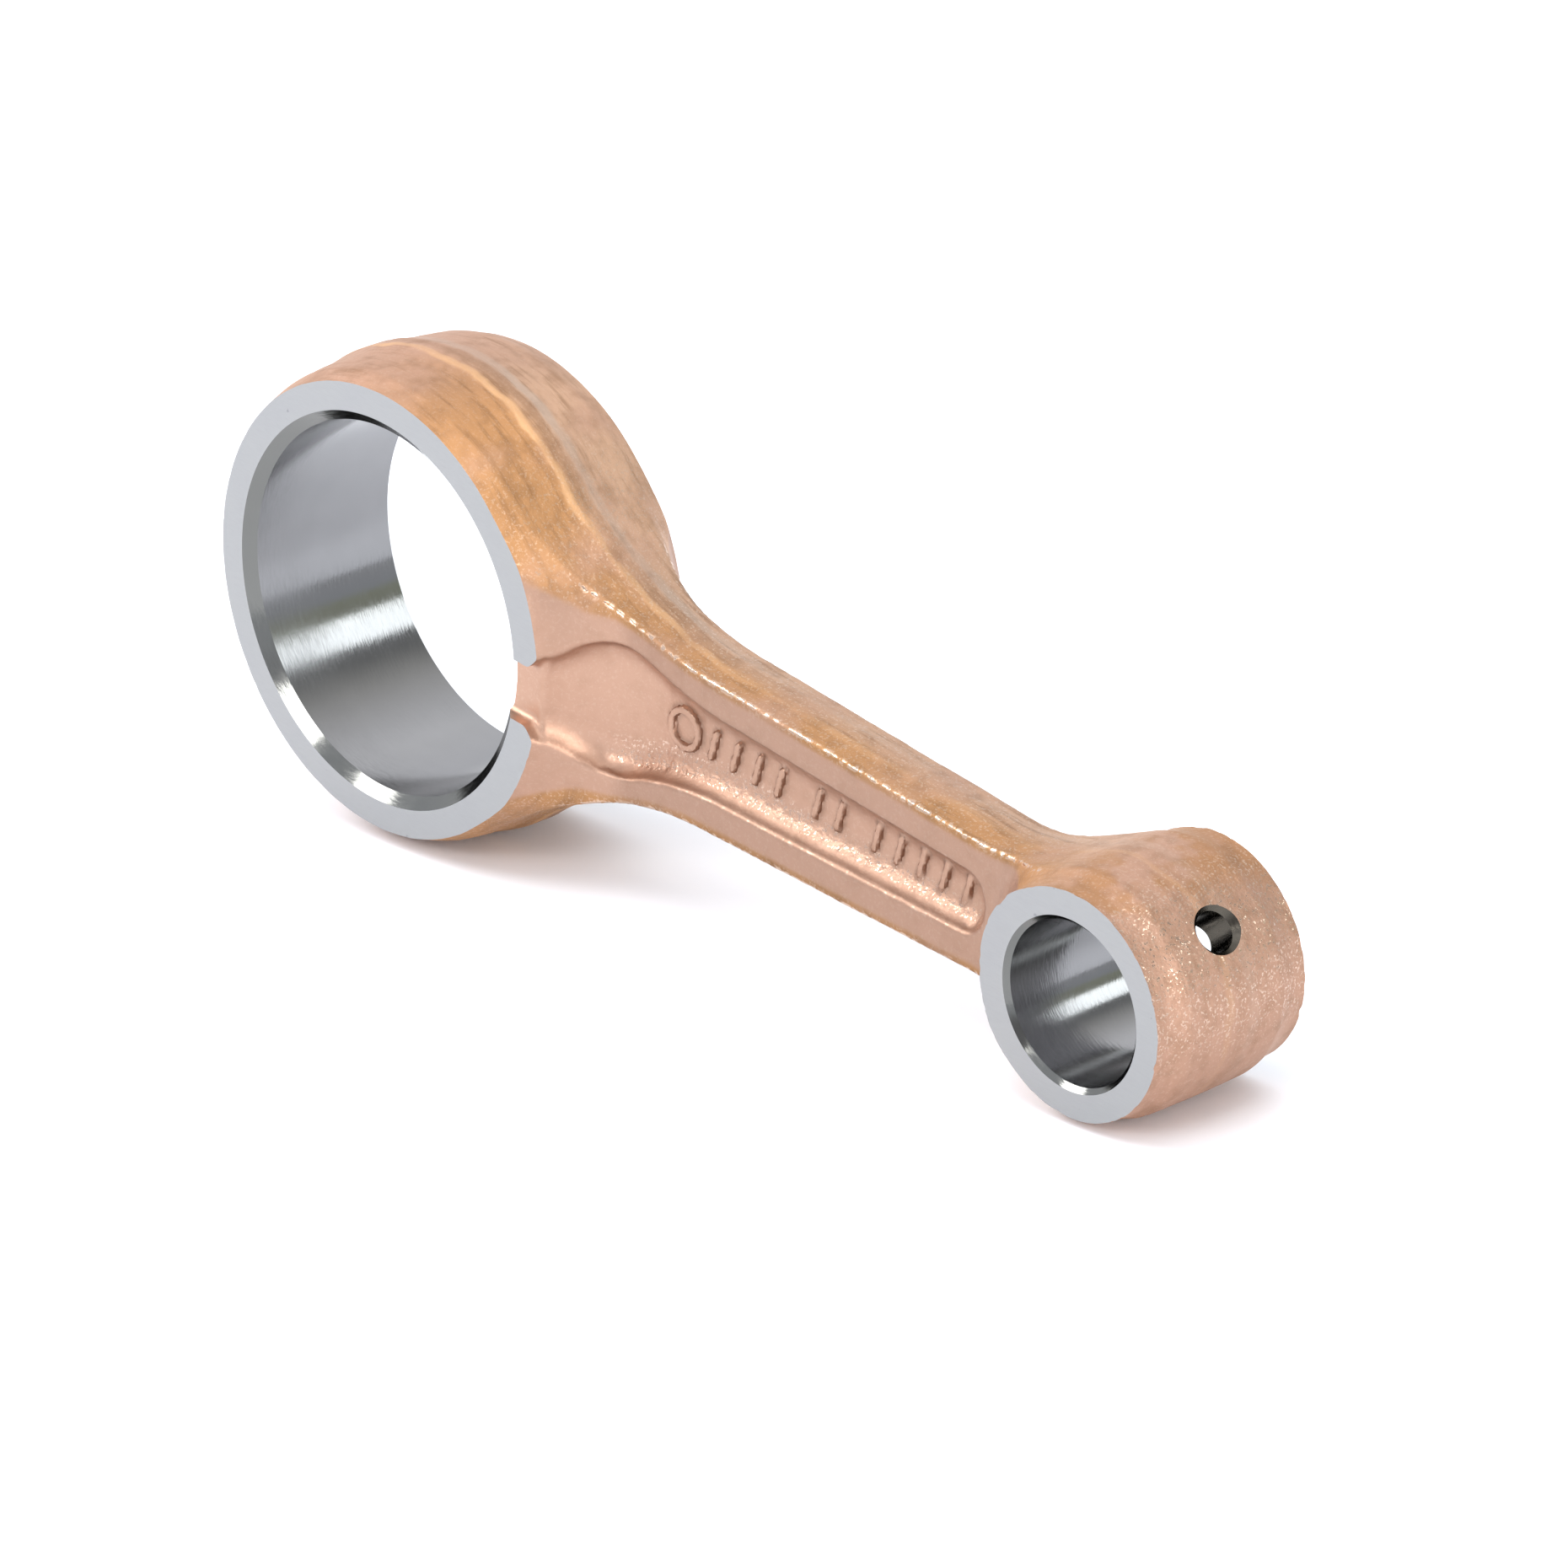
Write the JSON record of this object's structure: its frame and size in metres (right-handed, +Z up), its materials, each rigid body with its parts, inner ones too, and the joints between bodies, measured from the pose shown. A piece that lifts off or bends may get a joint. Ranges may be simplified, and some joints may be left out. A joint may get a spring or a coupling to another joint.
{
  "type": "connecting rod",
  "caption": "Forged I-section connecting rod with a crankpin bearing bore, a piston-pin bore, oil slots in the big-end faces and an oil hole in the small end.",
  "frame": {"origin": "centre of the big-end bore, midway between the two machined faces", "axes": "+X along the rod from the big end to the small end, Y along both bores with -Y out of the marked face, +Z up with the rod standing on its edge; the forging is parted on y = 0"},
  "size_m": [0.1321, 0.019, 0.0494],
  "materials": {
    "forging": "copper-flashed forged skin with ground bare steel bores and end faces"
  },
  "bodies": {
    "root": {"connecting_rod": "forging"}
  },
  "joints": []
}
